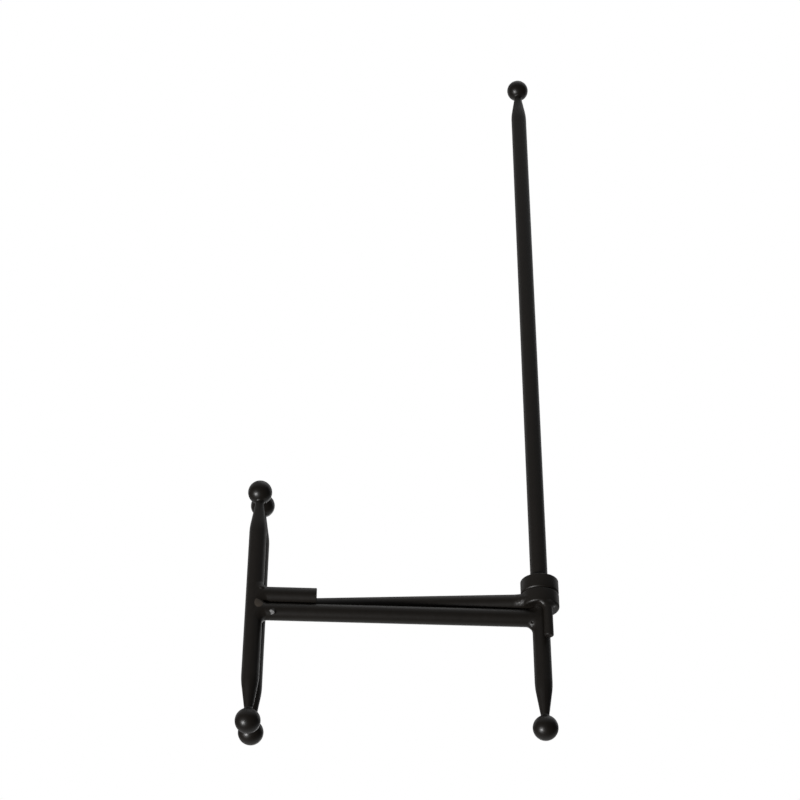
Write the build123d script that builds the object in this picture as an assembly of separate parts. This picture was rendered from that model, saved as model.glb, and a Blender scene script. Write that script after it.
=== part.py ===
from build123d import *
import os
from math import asin, atan2, cos, degrees, pi, radians, sin, sqrt

# Folding tabletop easel of welded steel rod with ball tips.
# Millimetres. Z is up, the origin is where the rear foot ball touches the table, and the easel
# faces -Y. The upright stands on the Z axis, which is also the axis that the swing leg turns on.

# Driving dimensions
ROD_DIAMETER = 9.5
BALL_DIAMETER = 13.5
NECK_DIAMETER = 4.6
TOTAL_HEIGHT = 471.5
FRONT_POST_HEIGHT = 153.0
FIXED_ARM_REACH = 154.9
SWING_ARM_REACH = 154.2
UPPER_ARM_HEIGHT = 80.7
CLOSED_ANGLE = 5.24

# Ends of the rods
SHOULDER_TO_BALL_CENTRE = 23.2
SHOULDER_BLEND = 40.0
NECK_FLARE = 1.5

# Rings on the upright
RING_DIAMETER = 20.8
EYE_HEIGHT = 8.2
COLLAR_HEIGHT = 8.4
RING_GAP = 0.35
RING_EDGE = 0.4
EYE_RUNNING_CLEARANCE = 0.05

# Gap kept between the swing leg and the fixed frame
MOVING_GAP = 0.3

# How far short of a post's axis a coped rod ends
COPE_ALLOWANCE = 0.02

# Rest bar, level with the swing arm
REST_BAR_FREE_END = 121.3
BAR_EDGE = 0.4

# Stop pin under the eye
PIN_DIAMETER = 5.0
PIN_LENGTH = 19.8
PIN_BEARING = 26.1
PIN_EDGE = 0.5

# Weld throats, the radius of each concave bead
SMALL_THROAT = 2.2
LARGE_THROAT = 4.3
EYE_THROAT = 8.0
EYE_WELD_HALF_HEIGHT = 3.2
COLLAR_WELD_LEG = 0.9
PIN_WELD_LEG = 1.7
PIN_WELD_HEIGHT = 3.0
PIN_WELD_PROUD = 0.3
CORNER_WELD_HALF_WIDTH = 2.85

# Sizes that follow from those
ROD_RADIUS = ROD_DIAMETER / 2
BALL_RADIUS = BALL_DIAMETER / 2
NECK_RADIUS = NECK_DIAMETER / 2
RING_RADIUS = RING_DIAMETER / 2
PIN_RADIUS = PIN_DIAMETER / 2
TOP_BALL_HEIGHT = TOTAL_HEIGHT - BALL_RADIUS
POST_BALL_HEIGHT = FRONT_POST_HEIGHT - BALL_RADIUS
LOWER_ARM_HEIGHT = UPPER_ARM_HEIGHT - ROD_DIAMETER - MOVING_GAP
EYE_BOTTOM = UPPER_ARM_HEIGHT - EYE_HEIGHT / 2
COLLAR_BOTTOM = UPPER_ARM_HEIGHT + EYE_HEIGHT / 2 + RING_GAP
COLLAR_TOP = COLLAR_BOTTOM + COLLAR_HEIGHT
FIXED_BEARING = CLOSED_ANGLE / 2
SWING_BEARING = -CLOSED_ANGLE / 2
PIN_ORBIT = RING_RADIUS - PIN_RADIUS

# Cutting solids pass this far beyond what they cut
TALL = 3 * BALL_DIAMETER
MARGIN = 1.0

PARTS_FOLDER = "parts"


def save(shape, node):
    """Write one node to its own STEP file."""
    export_step(shape, f"{PARTS_FOLDER}/{node}.step")


def turned(shape, bearing):
    """Turn a leg about the upright, from -Y towards +X by the bearing in degrees."""
    return Rot(0, 0, bearing) * shape


def standing_cylinder(radius, bottom, height, x=0.0, y=0.0):
    """Vertical cylinder from its bottom level."""
    return Pos(x, y, bottom + height / 2) * Cylinder(radius, height)


def lying_cylinder(radius, near, far, height):
    """Cylinder along -Y, from one distance out from the upright to another."""
    middle = -(near + far) / 2
    return Pos(0, middle, height) * Rot(90, 0, 0) * Cylinder(radius, far - near)


def ball(height, y=0.0):
    """Ball tip, by the height of its centre."""
    return Pos(0, y, height) * Sphere(BALL_RADIUS)


def pointed_end(ball_centre, up):
    """Outline of one end of a pointed rod, from the axis to the shoulder.

    The end is hollowed to seat on its ball, flares over it, and widens from the neck to the
    shoulder. up is +1 at the low end, where the rod goes up from its ball, and -1 at the high one.
    """
    flare_x = NECK_RADIUS + NECK_FLARE
    flare_z = sqrt((BALL_RADIUS + NECK_FLARE) ** 2 - flare_x**2)
    rim_angle = atan2(flare_z, flare_x)
    seat_middle = (rim_angle + pi / 2) / 2
    flare_middle = rim_angle / 2 + pi

    def place(x, z):
        return (x, ball_centre + up * z)

    rim = place(BALL_RADIUS * cos(rim_angle), BALL_RADIUS * sin(rim_angle))
    seat = place(BALL_RADIUS * cos(seat_middle), BALL_RADIUS * sin(seat_middle))
    bend_x = flare_x + NECK_FLARE * cos(flare_middle)
    bend_z = flare_z + NECK_FLARE * sin(flare_middle)
    neck = place(NECK_RADIUS, flare_z)
    shoulder = place(ROD_RADIUS, SHOULDER_TO_BALL_CENTRE)
    return [
        ThreePointArc(place(0, BALL_RADIUS), seat, rim),
        ThreePointArc(rim, place(bend_x, bend_z), neck),
        Line(neck, shoulder),
    ]


def pointed_rod(low_ball, high_ball, y=0.0):
    """Vertical rod that tapers to a neck at both ends, where it sits on its balls."""
    low_shoulder = low_ball + SHOULDER_TO_BALL_CENTRE
    high_shoulder = high_ball - SHOULDER_TO_BALL_CENTRE
    outline = pointed_end(low_ball, 1) + pointed_end(high_ball, -1)
    outline.append(Line((ROD_RADIUS, low_shoulder), (ROD_RADIUS, high_shoulder)))
    outline.append(Line((0, low_ball + BALL_RADIUS), (0, high_ball - BALL_RADIUS)))
    section = make_face(outline)
    shoulders = section.vertices().group_by(Axis.X)[-1]
    section = fillet(shoulders, SHOULDER_BLEND)
    return Pos(0, y, 0) * revolve(Plane.XZ * section, Axis.Z)


def ring(bottom, height, bore_radius):
    """Turned ring round the upright with slightly rounded rims."""
    body = standing_cylinder(RING_RADIUS, bottom, height)
    body = fillet(body.edges().filter_by(GeomType.CIRCLE), RING_EDGE)
    return body - standing_cylinder(bore_radius, bottom - MARGIN, height + 2 * MARGIN)


def corner_weld(throat, post_y, arm_height, toward, up):
    """Concave bead in one corner between a post and the arm that leaves it.

    toward is +1 where the arm leaves the post towards +Y, and up is +1 above the arm.
    """
    reach = ROD_RADIUS + throat
    mid = reach - throat * cos(radians(45))

    def place(along, above):
        return (post_y + toward * along, arm_height + up * above)

    edges = [
        Line(place(0, 0), place(reach, 0)),
        Line(place(reach, 0), place(reach, ROD_RADIUS)),
        ThreePointArc(place(reach, ROD_RADIUS), place(mid, mid), place(ROD_RADIUS, reach)),
        Line(place(ROD_RADIUS, reach), place(0, reach)),
        Line(place(0, reach), place(0, 0)),
    ]
    block = extrude(Plane.YZ * make_face(edges), amount=CORNER_WELD_HALF_WIDTH, both=True)
    post = standing_cylinder(ROD_RADIUS, arm_height - TALL, 2 * TALL, y=post_y)
    arm = lying_cylinder(ROD_RADIUS, -post_y - reach - MARGIN, -post_y + reach + MARGIN, arm_height)
    return block - post - arm


def eye_weld():
    """Pair of concave beads that spread the swing arm's sides into the eye."""
    centre_x = ROD_RADIUS + EYE_THROAT
    centre_y = sqrt((RING_RADIUS + EYE_THROAT) ** 2 - centre_x**2)
    shrink = RING_RADIUS / (RING_RADIUS + EYE_THROAT)
    on_ring = (centre_x * shrink, centre_y * shrink)
    toward_ring = Vector(-centre_x, -centre_y).normalized()
    toward_middle = (toward_ring + Vector(-1, 0)).normalized() * EYE_THROAT
    arc_middle = (centre_x + toward_middle.X, centre_y + toward_middle.Y)

    def side(sign):
        def place(point):
            return (sign * point[0], -point[1])

        edges = [
            Line(place((0, 0)), place((0, centre_y))),
            Line(place((0, centre_y)), place((ROD_RADIUS, centre_y))),
            ThreePointArc(place((ROD_RADIUS, centre_y)), place(arc_middle), place(on_ring)),
            Line(place(on_ring), place((0, 0))),
        ]
        return extrude(make_face(edges), amount=EYE_WELD_HALF_HEIGHT, both=True)

    beads = Pos(0, 0, UPPER_ARM_HEIGHT) * (side(1) + side(-1))
    beads = beads - standing_cylinder(RING_RADIUS, UPPER_ARM_HEIGHT - TALL, 2 * TALL)
    return beads - lying_cylinder(ROD_RADIUS, 0, SWING_ARM_REACH, UPPER_ARM_HEIGHT)


def collar_weld():
    """Small ring of weld on top of the stop collar."""
    outer = ROD_RADIUS + COLLAR_WELD_LEG
    bead = Pos(0, 0, COLLAR_TOP + COLLAR_WELD_LEG / 2) * Cone(outer, ROD_RADIUS, COLLAR_WELD_LEG)
    return bead - standing_cylinder(ROD_RADIUS, COLLAR_TOP - MARGIN, COLLAR_WELD_LEG + 2 * MARGIN)


def coped_rod(near, post_reach, height):
    """Lying rod that ends against its front post."""
    rod = lying_cylinder(ROD_RADIUS, near, post_reach - COPE_ALLOWANCE, height)
    return rod - standing_cylinder(ROD_RADIUS, height - TALL, 2 * TALL, y=-post_reach)


def fixed_arm():
    """Lower arm, coped to the upright at the back and to its front post."""
    arm = coped_rod(COPE_ALLOWANCE, FIXED_ARM_REACH, LOWER_ARM_HEIGHT)
    return arm - standing_cylinder(ROD_RADIUS, LOWER_ARM_HEIGHT - TALL, 2 * TALL)


def rest_bar():
    """Short bar above the lower arm that brings its rest up to the swing arm's level."""
    bar = coped_rod(REST_BAR_FREE_END, FIXED_ARM_REACH, UPPER_ARM_HEIGHT)
    free_rim = bar.edges().filter_by(GeomType.CIRCLE).sort_by(Axis.Y)[-1]
    return fillet(free_rim, BAR_EDGE)


def swing_arm():
    """Upper arm, coped to the eye at the back, clear of the collar, and to its front post."""
    arm = coped_rod(0, SWING_ARM_REACH, UPPER_ARM_HEIGHT)
    arm = arm - standing_cylinder(RING_RADIUS, EYE_BOTTOM, EYE_HEIGHT)
    clear = RING_RADIUS + MOVING_GAP
    arm = arm - standing_cylinder(clear, EYE_BOTTOM + EYE_HEIGHT, TALL)
    return arm - standing_cylinder(clear, EYE_BOTTOM - TALL, TALL)


def pin_place():
    """Centre of the stop pin in plan."""
    return (PIN_ORBIT * cos(radians(PIN_BEARING)), PIN_ORBIT * sin(radians(PIN_BEARING)))


def stop_pin():
    """Short pin under the eye that meets the lower arm when the easel is fully open."""
    x, y = pin_place()
    pin = standing_cylinder(PIN_RADIUS, EYE_BOTTOM - PIN_LENGTH, PIN_LENGTH, x, y)
    low_rim = pin.edges().filter_by(GeomType.CIRCLE).sort_by(Axis.Z)[0]
    return chamfer(low_rim, PIN_EDGE)


def stop_pin_weld():
    """Flared bead between the stop pin and the eye, kept clear of the upright."""
    x, y = pin_place()
    middle = EYE_BOTTOM - PIN_WELD_HEIGHT / 2
    flare = Pos(x, y, middle) * Cone(PIN_RADIUS, PIN_RADIUS + PIN_WELD_LEG, PIN_WELD_HEIGHT)
    low = EYE_BOTTOM - PIN_WELD_HEIGHT - MARGIN
    tall = PIN_WELD_HEIGHT + 2 * MARGIN
    flare = flare & standing_cylinder(RING_RADIUS + PIN_WELD_PROUD, low, tall)
    flare = flare - standing_cylinder(ROD_RADIUS + MOVING_GAP, low, tall)
    return flare - standing_cylinder(PIN_RADIUS, low, tall, x, y)


def fixed_frame():
    """Nodes that stay still: the upright, the lower arm and its front post."""
    front = -FIXED_ARM_REACH
    on_arm = {
        "fixed_arm": fixed_arm(),
        "fixed_front_post": pointed_rod(BALL_RADIUS, POST_BALL_HEIGHT, front),
        "fixed_post_top_ball": ball(POST_BALL_HEIGHT, front),
        "fixed_post_foot_ball": ball(BALL_RADIUS, front),
        "rest_bar": rest_bar(),
        "fixed_arm_rear_weld": corner_weld(LARGE_THROAT, 0, LOWER_ARM_HEIGHT, -1, -1),
        "fixed_arm_front_weld": corner_weld(SMALL_THROAT, front, LOWER_ARM_HEIGHT, 1, -1),
        "rest_bar_weld": corner_weld(SMALL_THROAT, front, UPPER_ARM_HEIGHT, 1, 1),
    }
    nodes = {node: turned(shape, FIXED_BEARING) for node, shape in on_arm.items()}
    nodes["upright_post"] = pointed_rod(BALL_RADIUS, TOP_BALL_HEIGHT)
    nodes["top_finial_ball"] = ball(TOP_BALL_HEIGHT)
    nodes["rear_foot_ball"] = ball(BALL_RADIUS)
    nodes["stop_collar"] = ring(COLLAR_BOTTOM, COLLAR_HEIGHT, ROD_RADIUS)
    nodes["collar_weld"] = collar_weld()
    return nodes


def swing_leg():
    """Nodes that turn together about the upright: the eye, the upper arm and its front post."""
    front = -SWING_ARM_REACH
    front_welds = [corner_weld(SMALL_THROAT, front, UPPER_ARM_HEIGHT, 1, up) for up in (1, -1)]
    on_arm = {
        "swing_arm": swing_arm(),
        "swing_front_post": pointed_rod(BALL_RADIUS, POST_BALL_HEIGHT, front),
        "swing_post_top_ball": ball(POST_BALL_HEIGHT, front),
        "swing_post_foot_ball": ball(BALL_RADIUS, front),
        "swing_arm_eye_weld": eye_weld(),
        "swing_arm_front_weld": front_welds[0] + front_welds[1],
    }
    nodes = {node: turned(shape, SWING_BEARING) for node, shape in on_arm.items()}
    nodes["swivel_eye"] = ring(EYE_BOTTOM, EYE_HEIGHT, ROD_RADIUS + EYE_RUNNING_CLEARANCE)
    nodes["stop_pin"] = stop_pin()
    nodes["stop_pin_weld"] = stop_pin_weld()
    return nodes


def opening_angle():
    """Degrees that the swing leg turns before the stop pin is a moving gap from the lower arm."""
    meeting = asin((ROD_RADIUS + PIN_RADIUS + MOVING_GAP) / PIN_ORBIT)
    return PIN_BEARING + 90 - FIXED_BEARING - degrees(meeting)


def main():
    os.makedirs(PARTS_FOLDER, exist_ok=True)
    for node, shape in {**fixed_frame(), **swing_leg()}.items():
        save(shape, node)
    print(f"the swing leg opens by {opening_angle():.1f} degrees")


if __name__ == "__main__":
    main()
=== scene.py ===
import bmesh
import bpy
import numpy as np
from math import cos, radians, sin
from mathutils import Matrix, Vector


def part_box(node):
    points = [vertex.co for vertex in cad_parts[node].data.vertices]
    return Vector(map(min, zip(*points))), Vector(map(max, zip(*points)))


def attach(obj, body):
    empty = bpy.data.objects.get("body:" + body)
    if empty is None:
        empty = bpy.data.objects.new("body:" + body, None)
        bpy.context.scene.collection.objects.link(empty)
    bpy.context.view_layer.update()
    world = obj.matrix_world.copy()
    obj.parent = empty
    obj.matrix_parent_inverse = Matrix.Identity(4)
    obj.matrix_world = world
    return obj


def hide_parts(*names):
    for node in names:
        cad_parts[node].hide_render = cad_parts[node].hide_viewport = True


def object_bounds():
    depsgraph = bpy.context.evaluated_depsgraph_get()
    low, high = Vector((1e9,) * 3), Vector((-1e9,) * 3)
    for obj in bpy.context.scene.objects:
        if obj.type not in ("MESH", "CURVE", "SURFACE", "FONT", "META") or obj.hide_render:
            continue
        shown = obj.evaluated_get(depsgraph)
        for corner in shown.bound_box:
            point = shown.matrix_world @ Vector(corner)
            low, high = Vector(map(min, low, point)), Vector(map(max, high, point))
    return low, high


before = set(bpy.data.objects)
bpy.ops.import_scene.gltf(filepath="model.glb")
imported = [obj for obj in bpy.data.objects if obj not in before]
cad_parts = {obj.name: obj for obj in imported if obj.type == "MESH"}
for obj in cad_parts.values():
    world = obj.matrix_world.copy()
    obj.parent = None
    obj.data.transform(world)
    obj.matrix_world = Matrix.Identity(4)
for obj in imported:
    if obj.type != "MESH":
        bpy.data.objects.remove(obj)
cad_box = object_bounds()

# A folding tabletop easel of welded steel rod with ball tips, powder coated black.
# Metres, in the frame of the CAD model: Z is up and the easel faces -Y.

MM = 0.001

# Weld beads: the radius of each one's hollow face, and how full the front ones are between their ends
FRONT_THROAT = 2.2 * MM
FRONT_FULLNESS = 4.0
REAR_THROAT = 4.3 * MM
EYE_THROAT = 1.6 * MM
PIN_THROAT = 4.2 * MM
COLLAR_THROAT = 0.9 * MM
LUMP_BLEND = 0.5 * MM

# Least and greatest radius of a blend, as shares of its throat
THINNEST = 0.02
FATTEST = 1.8

# How far a bead goes under the surface it lies on, and how far along it
BEAD_SINK = 0.03 * MM
BEAD_DEPTH = 0.6 * MM
BEAD_OVERLAP = 0.5 * MM
FRONT_REACH = 4.0 * MM
RUN_OUT_LENGTH = 4.0 * MM

# Unevenness of a hand-laid bead: three waves across each other, the first one meandering
RIPPLE_HEIGHT = 0.07 * MM
RIPPLE_LENGTH = 2.6 * MM
RIPPLE_ONSET = 0.55 * MM
MEANDER_SIZE = 1.7
MEANDER_RATE = 0.6
SECOND_WAVE = np.array([0.8, 1.3, 0.0])
THIRD_WAVE = np.array([0.0, -1.0, 1.1])

# Swing arm's flare into the eye, in plan: its angle, how softly it starts and how far it reaches
FLARE_ANGLE = 33.0
FLARE_EASE = 2.4 * MM
FLARE_REACH = 8.0 * MM

# Lump with a flat face where the fixed arm's front bead was started, placed from the front post's
# axis at the arm's level
START_PLACE = np.array([3.14, 10.38, -1.96]) * MM
START_SIZES = np.array([1.8, 2.1, 1.8]) * MM
START_FACE = np.array([3.92, 8.82, -1.95]) * MM
START_WAY = np.array([0.708, -0.31, -0.634])
START_REACH = 8.0 * MM

# Small dab of weld beside the rest bar, placed from the post's axis at the bar's level
DAB_PLACE = np.array([3.1, 3.8, 2.5]) * MM
DAB_SIZES = np.array([2.0, 1.9, 1.7]) * MM

# Painted sheen: a paler spot on the fixed arm's front bead for light caught on a flat facet, placed from
# the post's axis at the arm's level
PATCH_PLACE = np.array([3.9, 2.9, 3.1]) * MM
PATCH_SIZES = np.array([2.6, 2.4, 3.0]) * MM
PATCH_RISE = 0.07 * MM

# Pit in the rear bead of the fixed frame, placed from the upright's axis at the arm's level
PIT_PLACE = np.array([3.4, -5.1, -4.1]) * MM
PIT_SIZES = np.array([0.5, 0.5, 0.5]) * MM

# Rims of the eye and the collar, and the gaps that let the eye turn
LOW_RIM = 1.3 * MM
HIGH_RIM = 0.5 * MM
BORE_RIM = 0.3 * MM
RUNNING_GAP = 0.3 * MM
EYE_PLAY = 0.05 * MM

# How meshes are made: cells of the grid, the step that a slope is measured over, and points to join
BEAD_CELL = 0.25 * MM
PATCH_CELL = 0.12 * MM
MARGIN_CELLS = 2
SLOPE_STEP = 0.02 * MM
LEAST_SLOPE_SQUARED = 0.05
LEAST_LENGTH = 1e-12
SAME_POINT = 0.01 * MM
RIM_STEPS = 9
RING_STEPS = 160

# Boxes that pieces are meshed in: shares of the ring's diameter, the rod's diameter and the spot's size
FLARE_BOX_WIDTH = 1.1
FLARE_BOX_HEIGHT = 1.5
PATCH_BOX = 1.2

# Powder coat, a little warm: its patches of colour and gloss, its fine grain and its waves. Scales
# are per metre
WARM_TINT = (1.25, 1.0, 0.78)
COLOUR_SCALE = 180.0
DARKEST = 0.8
PALEST = 1.25
GLOSS_SCALE = 420.0
GLOSS_SPREAD = 0.05
GRAIN_SCALE = 2600.0
GRAIN_HEIGHT = 0.2 * MM
WAVES_SCALE = 700.0
WAVES_HEIGHT = 0.4 * MM
PEEL = 0.05

WHITE = (1, 1, 1, 1)

# Plain pale floor: a square that glows a little, with its half size in metres
FLOOR_HALF = 2.5
FLOOR_COLOUR = (0.82, 0.82, 0.81, 1)
FLOOR_ROUGHNESS = 0.7
FLOOR_GLOW = 0.45

# Camera, below the floor's level and looking up at the side of the easel. Angles are in degrees,
# and the sensor and the lens in millimetres
CAMERA_DISTANCE = 1.0988
CAMERA_ELEVATION = -35.062
CAMERA_BEARING = 0.032
CAMERA_ROLL = 0.270
AIM_ALONG = -1.1 * MM
AIM_BELOW_CENTRE = 20.8 * MM
SENSOR_WIDTH = 36.0
FOCAL_LENGTH = 84.615

# Room that the easel reflects: dim on the camera's side, brighter on the side of the backdrop.
# The sweep starts and ends at these cosines of the angle from the bright side
SWEEP_SIDE = (-0.8, 0.05, -0.35)
SWEEP_START = 0.3
SWEEP_END = 0.95
ROOM_DIM = 0.045
ROOM_BRIGHT = 0.42

# Ceiling of that room: it fades in upwards from start to end, and from back to front along X
CEILING_START = 0.5
CEILING_END = 0.75
CEILING_BACK = -0.5
CEILING_FRONT = 0.1
CEILING_BRIGHT = 0.29

# Soft square lights: a direction from the easel's middle, a distance, a size, and a power in watts
LIGHTS = {
    "main_light": ((0.516, -0.585, -0.627), 2.5, 0.42, 41.0),
    "top_light": ((-0.1, 0.2, 1.0), 1.5, 1.2, 2.5),
    "right_light": ((-0.5, 0.65, 0.57), 1.4, 1.0, 1.5),
    "left_light": ((-0.5, -0.65, 0.57), 1.4, 1.0, 1.2),
    "back_light": ((-0.95, 0.1, 0.15), 1.5, 1.0, 3.0),
}


# ---------------------------------------------------------------- places from the frame

def centre(node_name):
    """Middle of a CAD node's box."""
    low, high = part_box(node_name)
    return (np.array(low) + np.array(high)) / 2


def centre_at(node_name, level):
    """Middle of a CAD node's box, moved to a level."""
    x, y, _ = centre(node_name)
    return np.array([x, y, level])


def width(node_name):
    """Size of a CAD node's box along X."""
    low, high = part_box(node_name)
    return high.x - low.x


def plan(node_name):
    """Unit direction, level, from the upright to a front post."""
    x, y, _ = centre(node_name)
    return np.array([x, y, 0.0]) / np.hypot(x, y)


def on_axis(level):
    """Place on the upright's axis."""
    return np.array([0.0, 0.0, level])


# The rings' radius is taken along Y, so that they stay inside the box of the CAD rings
ROD_RADIUS = width("upright_post") / 2
RING_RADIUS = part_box("swivel_eye")[1].y
PIN_RADIUS = width("stop_pin") / 2
ARM_LEVEL = centre("fixed_arm")[2]
UPPER_LEVEL = centre("swing_arm")[2]
EYE_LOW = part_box("swivel_eye")[0].z
EYE_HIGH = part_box("swivel_eye")[1].z
COLLAR_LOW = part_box("stop_collar")[0].z
COLLAR_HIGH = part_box("stop_collar")[1].z
UP = np.array([0.0, 0.0, 1.0])


# ---------------------------------------------------------------- distance fields

def rod(place, direction, radius=ROD_RADIUS):
    """Distance field of a long round rod through a place."""
    def field(points):
        offset = points - place
        along = offset @ direction
        return np.linalg.norm(offset - along[..., None] * direction, axis=-1) - radius
    return field


def disc(low, high, radius, low_rim, high_rim):
    """Distance field of a solid disc about the upright's axis, with rounded rims."""
    middle = (low + high) / 2
    half = (high - low) / 2

    def field(points):
        rim = np.where(points[..., 2] < middle, low_rim, high_rim)
        out = np.hypot(points[..., 0], points[..., 1]) - radius + rim
        above = np.abs(points[..., 2] - middle) - half + rim
        beyond_rim = np.hypot(np.maximum(out, 0), np.maximum(above, 0))
        return beyond_rim + np.minimum(np.maximum(out, above), 0) - rim
    return field


def flared_arm(level, direction):
    """Field of an arm whose sides widen, in plan, along straight lines that touch the eye."""
    across = np.cross(UP, direction)
    taper = radians(FLARE_ANGLE)

    def field(points):
        along = np.maximum(points @ direction, RING_RADIUS * sin(taper))
        line = (RING_RADIUS - along * sin(taper)) / cos(taper)
        easing = np.maximum(FLARE_EASE - np.abs(line - ROD_RADIUS), 0)
        half_width = np.maximum(line, ROD_RADIUS) + easing**2 / (4 * FLARE_EASE)
        sideways = (points @ across) * ROD_RADIUS / half_width
        return np.hypot(sideways, points[..., 2] - level) - ROD_RADIUS
    return field


def lump(place, sizes):
    """Field of a rounded lump with a half size along each axis."""
    return lambda points: (np.linalg.norm((points - place) / sizes, axis=-1) - 1) * sizes.min()


def block(middle, half):
    """Field of a box with a half size along each axis."""
    return lambda points: (np.abs(points - middle) - half).max(axis=-1)


def beyond(place, direction):
    """Everything on the far side of a flat face, in a direction."""
    return lambda points: (place - points) @ direction


def run_out(part, place, direction):
    """Everything too far off a part for a bead that starts at a place and grows in a direction."""
    def field(points):
        gone = (points - place) @ direction
        return gone * np.abs(gone) / RUN_OUT_LENGTH - BEAD_SINK - part(points)
    return field


def larger(field, gap):
    """The same shape grown by a gap."""
    return lambda points: field(points) - gap


def join(*fields):
    """Several shapes together."""
    return lambda points: np.minimum.reduce([field(points) for field in fields])


def cut(field, *tools):
    """A shape with others taken away."""
    return lambda points: np.maximum.reduce([field(points)] + [-tool(points) for tool in tools])


def common(*fields):
    """What several shapes share."""
    return lambda points: np.maximum.reduce([field(points) for field in fields])


def slope(field, points):
    """Gradient of a field at each point."""
    steps = SLOPE_STEP * np.eye(3)
    sides = [field(points + step) - field(points - step) for step in steps]
    return np.stack(sides, axis=-1) / (2 * SLOPE_STEP)


def lengths(vectors):
    """Length of each vector, never quite zero, so that it can be divided by."""
    return np.maximum(np.linalg.norm(vectors, axis=-1, keepdims=True), LEAST_LENGTH)


def unit(vectors):
    """The same directions at length one."""
    return vectors / lengths(vectors)


def ripple(points):
    """Slow unevenness of a hand-laid bead, from -1 to 1."""
    phase = points * 2 * np.pi / RIPPLE_LENGTH
    meander = MEANDER_SIZE * np.sin(MEANDER_RATE * phase[..., 2])
    waves = (phase[..., 0] + meander, phase @ SECOND_WAVE, phase @ THIRD_WAVE)
    return sum(np.sin(wave) for wave in waves) / len(waves)


def blended(one, other, throat, fullness=0.0):
    """Two shapes with a concave blend between them, of that radius where they meet squarely.

    It thins out where the two shapes run alongside each other, as a weld does. A fullness above 0
    makes it fatter between those two places.
    """
    def field(points):
        to_one = one(points)
        to_other = other(points)
        alike = np.sum(unit(slope(one, points)) * unit(slope(other, points)), axis=-1)
        share = (1 - alike) * (1 + fullness * np.maximum(alike, 0))
        radius = throat * np.clip(share, THINNEST, FATTEST)
        across = np.hypot(np.maximum(radius - to_one, 0), np.maximum(radius - to_other, 0))
        return np.maximum(radius, np.minimum(to_one, to_other)) - across
    return field


def bead(shape, one, other, reach, keep_out=()):
    """Field of what a shape adds to two others near where they meet.

    It runs out smoothly onto both, and goes on a little way under their surfaces. keep_out lists
    fields that it may not enter.
    """
    def field(points):
        to_one = one(points)
        to_other = other(points)
        nearest = np.minimum(to_one, to_other)
        outer = shape(points)
        added = np.clip((nearest - outer) / RIPPLE_ONSET, 0, 1)
        skin = outer + BEAD_SINK + RIPPLE_HEIGHT * added * ripple(points)
        root = -nearest - BEAD_DEPTH
        ends = np.maximum(to_one, to_other) - reach - BEAD_OVERLAP
        return np.maximum.reduce([skin, root, ends] + [-part(points) for part in keep_out])
    return field


# ---------------------------------------------------------------- meshes from fields

def settle(points, field, reach, rounds=3):
    """Move points onto the surface of a field, each by no more than reach at a time."""
    for _ in range(rounds):
        fall = slope(field, points)
        steep = np.maximum(np.sum(fall**2, axis=-1, keepdims=True), LEAST_SLOPE_SQUARED)
        shift = field(points)[..., None] * fall / steep
        points = points - shift * np.minimum(1, reach / lengths(shift))
    return points


def crossed_edges(values, axis):
    """Edges of a grid, along one axis, that pass through the surface where its values are zero.

    Gives where each one is crossed, the numbers of the four cells around it, and whether it starts
    inside.
    """
    counts = np.array(values.shape)
    inside = values < 0
    step = np.eye(3, dtype=int)[axis]
    first = tuple(slice(0, counts[i] - step[i]) for i in range(3))
    second = tuple(slice(step[i], counts[i]) for i in range(3))
    start = np.argwhere(inside[first] != inside[second])
    before = values[tuple(start.T)]
    after = values[tuple((start + step).T)]
    crossing = start + (before / (before - after))[:, None] * step
    side_a = np.roll(step, 1)
    side_b = np.roll(step, 2)
    around = (0 * side_a, -side_a, -side_a - side_b, -side_b)
    cells = [np.ravel_multi_index((start + offset).T, counts - 1) for offset in around]
    return crossing, np.stack(cells, axis=-1), before < 0


def field_mesh(name, field, low, high, cell=BEAD_CELL):
    """Closed mesh of the surface where a field is zero, one point in each cell it passes."""
    margin = MARGIN_CELLS * cell
    low = np.array(low) - margin
    counts = np.ceil((np.array(high) + margin - low) / cell).astype(int) + 1
    grid = np.stack(np.meshgrid(*(np.arange(n) for n in counts), indexing="ij"), axis=-1)
    values = field(low + cell * grid)
    cell_count = (counts - 1).prod()
    total = np.zeros((cell_count, 3))
    hits = np.zeros(cell_count)
    quads = []
    for axis in range(3):
        crossing, around, leaving = crossed_edges(values, axis)
        for corner in around.T:
            np.add.at(total, corner, crossing)
            np.add.at(hits, corner, 1)
        quads.append(np.where(leaving[:, None], around, around[:, ::-1]))
    used = np.flatnonzero(hits)
    number = np.zeros(cell_count, dtype=int)
    number[used] = np.arange(len(used))
    points = low + cell * total[used] / hits[used][:, None]
    points = settle(points, field, cell / 2)
    return make_piece(name, points, number[np.concatenate(quads)])


def turned_ring(name, low, high, bore):
    """Ring about the upright's axis, turned from a profile with rounded rims."""
    corners = [
        (RING_RADIUS - LOW_RIM, low + LOW_RIM, LOW_RIM, -90),
        (RING_RADIUS - HIGH_RIM, high - HIGH_RIM, HIGH_RIM, 0),
        (bore + BORE_RIM, high - BORE_RIM, BORE_RIM, 90),
        (bore + BORE_RIM, low + BORE_RIM, BORE_RIM, 180),
    ]
    profile = []
    for across, level, rim, start in corners:
        for angle in np.radians(np.linspace(start, start + 90, RIM_STEPS)):
            profile.append((across + rim * cos(angle), level + rim * sin(angle)))
    turns = np.arange(RING_STEPS) * 2 * np.pi / RING_STEPS
    points = np.array([(r * cos(turn), r * sin(turn), z) for turn in turns for r, z in profile])
    number = np.arange(len(points)).reshape(len(turns), len(profile))
    ahead = np.roll(number, -1, axis=0)
    faces = np.stack([number, ahead, np.roll(ahead, -1, axis=1), np.roll(number, -1, axis=1)], axis=-1)
    return make_piece(name, points, faces.reshape(-1, 4))


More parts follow.
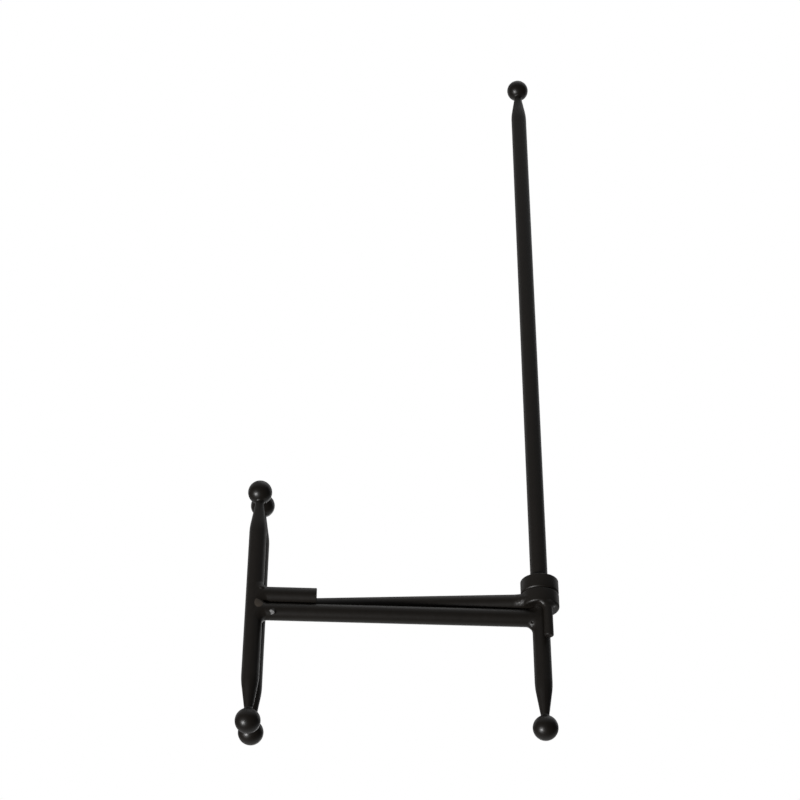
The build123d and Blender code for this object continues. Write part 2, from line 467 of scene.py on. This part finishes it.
def make_piece(name, points, faces):
    """Smooth-shaded mesh object from points and faces, with points that nearly touch joined."""
    mesh = bpy.data.meshes.new(name)
    mesh.from_pydata(points.tolist(), [], faces.tolist())
    cleaned = bmesh.new()
    cleaned.from_mesh(mesh)
    bmesh.ops.remove_doubles(cleaned, verts=cleaned.verts, dist=SAME_POINT)
    bmesh.ops.dissolve_degenerate(cleaned, edges=cleaned.edges, dist=SAME_POINT)
    cleaned.to_mesh(mesh)
    cleaned.free()
    mesh.validate()
    mesh.shade_smooth()
    piece = bpy.data.objects.new(name, mesh)
    bpy.context.scene.collection.objects.link(piece)
    return piece


# ---------------------------------------------------------------- materials

def new_material(name):
    """A new material, with its node tree and its shader."""
    material = bpy.data.materials.new(name)
    material.use_nodes = True
    tree = material.node_tree
    return material, tree, tree.nodes["Principled BSDF"]


def node(tree, kind, **inputs):
    """A shader node with the given input values."""
    made = tree.nodes.new(kind)
    for name, value in inputs.items():
        made.inputs[name.replace("_", " ")].default_value = value
    return made


def noise(tree, scale, detail=3.0):
    """Noise in the space of the object, with features about 1 / scale metres apart."""
    place = tree.nodes.new("ShaderNodeTexCoord")
    made = node(tree, "ShaderNodeTexNoise", Scale=scale, Detail=detail)
    tree.links.new(place.outputs["Object"], made.inputs["Vector"])
    return made.outputs["Fac"]


def ramp(tree, value, low, high, start=0.0, end=1.0, smooth=False):
    """A value that runs from start to end made to run from low to high, and to stop there."""
    made = node(tree, "ShaderNodeMapRange", From_Min=start, From_Max=end, To_Min=low, To_Max=high)
    if smooth:
        made.interpolation_type = "SMOOTHSTEP"
    tree.links.new(value, made.inputs["Value"])
    return made.outputs["Result"]


def patchy_colour(tree, shade):
    """Colour in soft patches, darker and paler than a shade of black."""
    colour = node(tree, "ShaderNodeMix")
    colour.data_type = "RGBA"
    red, green, blue = (shade * part for part in WARM_TINT)
    colour.inputs["A"].default_value = (DARKEST * red, DARKEST * green, DARKEST * blue, 1)
    colour.inputs["B"].default_value = (PALEST * red, PALEST * green, PALEST * blue, 1)
    tree.links.new(noise(tree, COLOUR_SCALE), colour.inputs["Factor"])
    return colour.outputs["Result"]


def orange_peel(tree, lumps):
    """Normal of a surface with a fine grain on broader waves. Lumps make the waves deeper."""
    fine = node(tree, "ShaderNodeBump", Strength=PEEL, Distance=GRAIN_HEIGHT)
    tree.links.new(noise(tree, GRAIN_SCALE, detail=2.0), fine.inputs["Height"])
    coarse = node(tree, "ShaderNodeBump", Strength=PEEL + lumps, Distance=WAVES_HEIGHT)
    tree.links.new(noise(tree, WAVES_SCALE, detail=1.0), coarse.inputs["Height"])
    tree.links.new(fine.outputs["Normal"], coarse.inputs["Normal"])
    return coarse.outputs["Normal"]


def powder_coat(name, shade, roughness, lumps=0.0):
    """Powder coating: fine orange peel, patchy gloss and slightly uneven colour."""
    material, tree, shader = new_material(name)
    gloss = ramp(tree, noise(tree, GLOSS_SCALE), roughness - GLOSS_SPREAD, roughness + GLOSS_SPREAD)
    tree.links.new(patchy_colour(tree, shade), shader.inputs["Base Color"])
    tree.links.new(gloss, shader.inputs["Roughness"])
    tree.links.new(orange_peel(tree, lumps), shader.inputs["Normal"])
    return material


def pale_floor():
    """Plain pale floor, seen from above only."""
    material, tree, shader = new_material("pale_floor")
    shader.inputs["Base Color"].default_value = FLOOR_COLOUR
    shader.inputs["Roughness"].default_value = FLOOR_ROUGHNESS
    shader.inputs["Emission Color"].default_value = WHITE
    shader.inputs["Emission Strength"].default_value = FLOOR_GLOW
    side = tree.nodes.new("ShaderNodeNewGeometry")
    clear = tree.nodes.new("ShaderNodeBsdfTransparent")
    choice = tree.nodes.new("ShaderNodeMixShader")
    tree.links.new(side.outputs["Backfacing"], choice.inputs["Fac"])
    tree.links.new(shader.outputs["BSDF"], choice.inputs[1])
    tree.links.new(clear.outputs["BSDF"], choice.inputs[2])
    tree.links.new(choice.outputs["Shader"], tree.nodes["Material Output"].inputs["Surface"])
    return material


COATS = {
    "black_rod": powder_coat("black_rod_coat", shade=0.010, roughness=0.43),
    "black_ball": powder_coat("black_ball_coat", shade=0.010, roughness=0.36),
    "black_ring": powder_coat("black_ring_coat", shade=0.010, roughness=0.43),
    "black_weld": powder_coat("black_weld_coat", shade=0.011, roughness=0.41, lumps=0.04),
}
# Painted sheen: a coat about six times paler than the rest, for the spot that stands in for light caught
# on a flat facet of the bead
PAINTED_SHEEN_COAT = powder_coat("painted_sheen_coat", shade=0.062, roughness=0.6, lumps=0.1)


def coat_nodes():
    """Give each CAD node the coat of its own material slot."""
    for node_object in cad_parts.values():
        for slot in node_object.material_slots:
            slot.material = COATS[slot.material.name.split(".")[0]]


# ---------------------------------------------------------------- rings and weld beads

FIXED_WAY = plan("fixed_front_post")
SWING_WAY = plan("swing_front_post")
UPRIGHT = rod(on_axis(0.0), UP)
FIXED_ARM = rod(on_axis(ARM_LEVEL), FIXED_WAY)
REST_BAR = rod(on_axis(UPPER_LEVEL), FIXED_WAY)
SWING_ARM = rod(on_axis(UPPER_LEVEL), SWING_WAY)
FIXED_POST = rod(centre("fixed_front_post"), UP)
STOP_PIN = rod(centre("stop_pin"), UP, PIN_RADIUS)
EYE = disc(EYE_LOW, EYE_HIGH, RING_RADIUS, LOW_RIM, HIGH_RIM)
COLLAR = disc(COLLAR_LOW, COLLAR_HIGH, RING_RADIUS, LOW_RIM, HIGH_RIM)
CLEAR_OF_FRAME = (larger(COLLAR, RUNNING_GAP), larger(UPRIGHT, RUNNING_GAP))


def hang(piece, body, slot, *nodes):
    """Coat a piece, hang it on its body and let it stand for its CAD nodes."""
    piece.data.materials.append(COATS[slot])
    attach(piece, body)
    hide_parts(*nodes)


def rings():
    """The eye that turns on the upright and the collar fixed above it."""
    eye = turned_ring("swivel_eye_ring", EYE_LOW, EYE_HIGH, ROD_RADIUS + EYE_PLAY)
    hang(eye, "swing_leg", "black_ring", "swivel_eye")
    collar = turned_ring("stop_collar_ring", COLLAR_LOW, COLLAR_HIGH, ROD_RADIUS)
    hang(collar, "fixed_frame", "black_ring", "stop_collar")


def bead_piece(name, body, node_name, field, middle, size):
    """One bead, meshed in a box about its middle."""
    half = np.array(size) / 2
    piece = field_mesh(name, common(field, block(middle, half)), middle - half, middle + half)
    hang(piece, body, "black_weld", node_name)


def front_bead(name, body, node_name, arm, post_node, level, extra=(), keep_out=(), reach=FRONT_REACH):
    """Bead where an arm meets its front post, with any lumps of extra weld."""
    place = centre_at(post_node, level)
    toward = -plan(post_node)
    post = rod(place, UP)
    shape = join(
        blended(arm, post, FRONT_THROAT, FRONT_FULLNESS),
        *(blended(part, join(arm, post), LUMP_BLEND) for part in extra),
    )
    keep_out = (*keep_out, beyond(place, -toward), run_out(post, place, toward))
    field = bead(shape, arm, post, reach, keep_out)
    wide = 2 * ROD_RADIUS + 2 * FRONT_THROAT
    long = ROD_RADIUS + reach + 2 * BEAD_OVERLAP
    middle = place + long / 2 * toward
    bead_piece(name, body, node_name, field, middle, (wide, long, wide + 2 * FRONT_THROAT))


def rear_bead():
    """Bead where the fixed arm meets the upright, with a small pit in it."""
    middle = on_axis(ARM_LEVEL)
    pit = lump(middle + PIT_PLACE, PIT_SIZES)
    shape = cut(blended(FIXED_ARM, UPRIGHT, REAR_THROAT), pit)
    above_arm = beyond(on_axis(ARM_LEVEL + ROD_RADIUS), UP)
    keep_out = (beyond(on_axis(0.0), -FIXED_WAY), above_arm)
    field = bead(shape, FIXED_ARM, UPRIGHT, REAR_THROAT, keep_out)
    wide = 2 * ROD_RADIUS + 2 * REAR_THROAT
    middle = middle + ROD_RADIUS * FIXED_WAY
    bead_piece("fixed_arm_rear_bead", "fixed_frame", "fixed_arm_rear_weld", field, middle, (wide,) * 3)


def fixed_arm_front_bead():
    """Bead of the fixed arm on the front post, with the lump where it was started."""
    place = centre_at("fixed_front_post", ARM_LEVEL)
    face = beyond(place + START_FACE, unit(START_WAY))
    start = cut(lump(place + START_PLACE, START_SIZES), face)
    front_bead(
        "fixed_arm_front_bead", "fixed_frame", "fixed_arm_front_weld", FIXED_ARM, "fixed_front_post",
        ARM_LEVEL, (start,), (REST_BAR,), START_REACH,
    )


def rest_bar_bead():
    """Bead of the rest bar on the front post, with a dab of weld beside it."""
    dab = lump(centre_at("fixed_front_post", UPPER_LEVEL) + DAB_PLACE, DAB_SIZES)
    front_bead(
        "rest_bar_bead", "fixed_frame", "rest_bar_weld", REST_BAR, "fixed_front_post",
        UPPER_LEVEL, (dab,), (FIXED_ARM,),
    )


def painted_sheen_patch():
    """Spot on the fixed arm's front bead painted paler: a painted sheen for light caught on a flat facet.
    """
    middle = centre_at("fixed_front_post", ARM_LEVEL) + PATCH_PLACE
    base = blended(FIXED_ARM, FIXED_POST, FRONT_THROAT, FRONT_FULLNESS)
    spot = lump(middle, PATCH_SIZES)
    field = cut(common(larger(base, PATCH_RISE), spot), larger(base, -BEAD_DEPTH))
    half = PATCH_BOX * PATCH_SIZES
    patch = field_mesh("painted_sheen_patch", field, middle - half, middle + half, PATCH_CELL)
    patch.data.materials.append(PAINTED_SHEEN_COAT)
    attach(patch, "fixed_frame")


def collar_bead():
    """Thin bead between the collar's top and the upright."""
    field = bead(blended(COLLAR, UPRIGHT, COLLAR_THROAT), COLLAR, UPRIGHT, COLLAR_THROAT)
    wide = 2 * ROD_RADIUS + 4 * COLLAR_THROAT
    size = (wide, wide, 4 * COLLAR_THROAT)
    bead_piece("collar_bead", "fixed_frame", "collar_weld", field, on_axis(COLLAR_HIGH), size)


def swing_arm_front_bead():
    """Bead of the swing arm on its front post."""
    front_bead(
        "swing_arm_front_bead", "swing_leg", "swing_arm_front_weld", SWING_ARM, "swing_front_post",
        UPPER_LEVEL,
    )


def eye_bead():
    """Bead that flares from the swing arm into the eye, kept clear of the collar and the upright."""
    flare = blended(flared_arm(UPPER_LEVEL, SWING_WAY), EYE, EYE_THROAT)
    keep_out = (*CLEAR_OF_FRAME, beyond(on_axis(0.0), -SWING_WAY))
    field = bead(flare, SWING_ARM, EYE, FLARE_REACH, keep_out)
    long = RING_RADIUS + FLARE_REACH + 2 * BEAD_OVERLAP
    size = (2 * FLARE_BOX_WIDTH * RING_RADIUS, long, 2 * FLARE_BOX_HEIGHT * ROD_RADIUS)
    middle = on_axis(UPPER_LEVEL) + long / 2 * SWING_WAY
    bead_piece("swing_arm_eye_bead", "swing_leg", "swing_arm_eye_weld", field, middle, size)


def pin_bead():
    """Bead around the top of the stop pin, under the eye."""
    keep_out = (*CLEAR_OF_FRAME, beyond(on_axis(EYE_LOW + LOW_RIM), UP))
    field = bead(blended(STOP_PIN, EYE, PIN_THROAT), STOP_PIN, EYE, PIN_THROAT, keep_out)
    middle = centre_at("stop_pin", EYE_LOW - PIN_THROAT / 2)
    wide = 2 * PIN_RADIUS + 2 * PIN_THROAT
    bead_piece("stop_pin_bead", "swing_leg", "stop_pin_weld", field, middle, (wide,) * 3)


# ---------------------------------------------------------------- stage, light and camera

def soft_light(name, direction, distance, size, power):
    """Square soft light out along a direction from the middle of the easel, turned to face it."""
    lamp = bpy.data.lights.new(name, "AREA")
    lamp.size = size
    lamp.energy = power
    holder = bpy.data.objects.new(name, lamp)
    middle = (cad_box[0] + cad_box[1]) / 2
    holder.location = middle + distance * Vector(direction).normalized()
    holder.rotation_euler = (middle - holder.location).to_track_quat("-Z", "Y").to_euler()
    holder.visible_camera = False
    bpy.context.scene.collection.objects.link(holder)


def studio():
    """Plain soft studio light: the main light low in front, weak ones overhead, beside and behind."""
    for name, (direction, distance, size, power) in LIGHTS.items():
        soft_light(name, direction, distance, size, power)


def floor():
    """Pale floor under the feet. It isn't seen from below and doesn't block the light from there."""
    corners = ((-1, -1), (1, -1), (1, 1), (-1, 1))
    mesh = bpy.data.meshes.new("floor")
    mesh.from_pydata([(FLOOR_HALF * x, FLOOR_HALF * y, 0) for x, y in corners], [], [(0, 1, 2, 3)])
    plane = bpy.data.objects.new("floor", mesh)
    mesh.materials.append(pale_floor())
    plane.visible_shadow = False
    plane.visible_glossy = False
    plane.visible_diffuse = False
    bpy.context.scene.collection.objects.link(plane)


def room_brightness(tree):
    """Brightness of the reflected room: a sweep toward the backdrop, with the ceiling added."""
    way = tree.nodes.new("ShaderNodeTexCoord")
    facing = tree.nodes.new("ShaderNodeVectorMath")
    facing.operation = "DOT_PRODUCT"
    facing.inputs[1].default_value = Vector(SWEEP_SIDE).normalized()
    tree.links.new(way.outputs["Generated"], facing.inputs[0])
    sweep = ramp(tree, facing.outputs["Value"], ROOM_DIM, ROOM_BRIGHT, SWEEP_START, SWEEP_END, smooth=True)

    axes = tree.nodes.new("ShaderNodeSeparateXYZ")
    tree.links.new(way.outputs["Generated"], axes.inputs["Vector"])
    overhead = ramp(tree, axes.outputs["Z"], 0.0, CEILING_BRIGHT, CEILING_START, CEILING_END)
    in_front = ramp(tree, axes.outputs["X"], 0.0, 1.0, CEILING_BACK, CEILING_FRONT)

    whole = tree.nodes.new("ShaderNodeMath")
    whole.operation = "MULTIPLY_ADD"
    for value, socket in zip((overhead, in_front, sweep), whole.inputs):
        tree.links.new(value, socket)
    return whole.outputs["Value"]


def white_room():
    """White background, with a dimmer room for the easel to reflect."""
    world = bpy.data.worlds.new("white_room")
    bpy.context.scene.world = world
    world.use_nodes = True
    tree = world.node_tree
    room = tree.nodes["Background"]
    room.inputs["Color"].default_value = WHITE
    tree.links.new(room_brightness(tree), room.inputs["Strength"])
    backdrop = node(tree, "ShaderNodeBackground", Color=WHITE, Strength=1.0)
    path = tree.nodes.new("ShaderNodeLightPath")
    choice = tree.nodes.new("ShaderNodeMixShader")
    tree.links.new(path.outputs["Is Camera Ray"], choice.inputs["Fac"])
    tree.links.new(room.outputs["Background"], choice.inputs[1])
    tree.links.new(backdrop.outputs["Background"], choice.inputs[2])
    tree.links.new(choice.outputs["Shader"], tree.nodes["World Output"].inputs["Surface"])


def camera():
    """Camera at the side of the easel, looking up at it."""
    lens = bpy.data.cameras.new("camera")
    lens.sensor_width = SENSOR_WIDTH
    lens.lens = FOCAL_LENGTH
    holder = bpy.data.objects.new("camera", lens)
    elevation = radians(CAMERA_ELEVATION)
    bearing = radians(CAMERA_BEARING)
    back = Vector((cos(elevation) * cos(bearing), cos(elevation) * sin(bearing), sin(elevation)))
    middle = (cad_box[0] + cad_box[1]) / 2
    target = Vector((0, middle.y + AIM_ALONG, middle.z - AIM_BELOW_CENTRE))
    right = Vector((-sin(bearing), cos(bearing), 0))
    up = back.cross(right)
    roll = radians(CAMERA_ROLL)
    rolled_right = cos(roll) * right + sin(roll) * up
    rolled_up = cos(roll) * up - sin(roll) * right
    turn = Matrix((rolled_right, rolled_up, back)).transposed()
    holder.matrix_world = Matrix.Translation(target + CAMERA_DISTANCE * back) @ turn.to_4x4()
    bpy.context.scene.collection.objects.link(holder)
    bpy.context.scene.camera = holder


coat_nodes()
rings()
rear_bead()
fixed_arm_front_bead()
rest_bar_bead()
painted_sheen_patch()
collar_bead()
swing_arm_front_bead()
eye_bead()
pin_bead()
white_room()
floor()
studio()
camera()
bpy.context.scene.view_settings.view_transform = "Standard"
